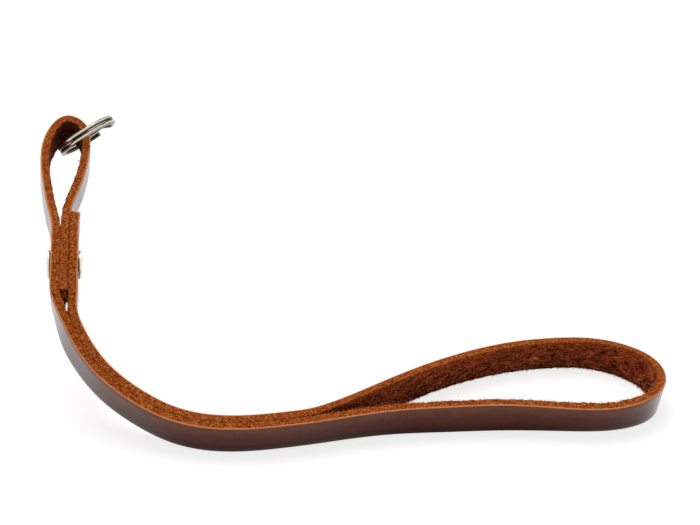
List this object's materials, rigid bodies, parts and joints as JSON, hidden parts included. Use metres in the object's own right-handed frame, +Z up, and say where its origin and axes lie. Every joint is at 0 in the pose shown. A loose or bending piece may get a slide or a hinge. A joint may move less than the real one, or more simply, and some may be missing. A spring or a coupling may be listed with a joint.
{
  "type": "camera hand grip strap",
  "caption": "Narrow brown leather wrist strap with a teardrop hand loop, a riveted eye and a metal split ring for a camera lug.",
  "frame": {"origin": "on the table, under the middle of the strap's box", "axes": "+Z up, +X from the riveted joint toward the far end of the hand loop, +Y away from the viewer of the picture"},
  "size_m": [0.1522, 0.079, 0.0565],
  "materials": {
    "leather": "smooth brown grain with raw tan cut edges",
    "nickel": "polished nickel plate"
  },
  "bodies": {
    "strap": {"leather_strap": "leather", "rivet_post": "nickel", "rivet_cap": "nickel"},
    "ring": {"split_ring": "nickel"}
  },
  "joints": [
    {"name": "ring_turn", "type": "hinge", "parent": "strap", "child": "ring", "pos_m": [-0.065, 0.03174, 0.0506], "axis": [0.5419, -0.3574, -0.7606], "continuous": true}
  ]
}
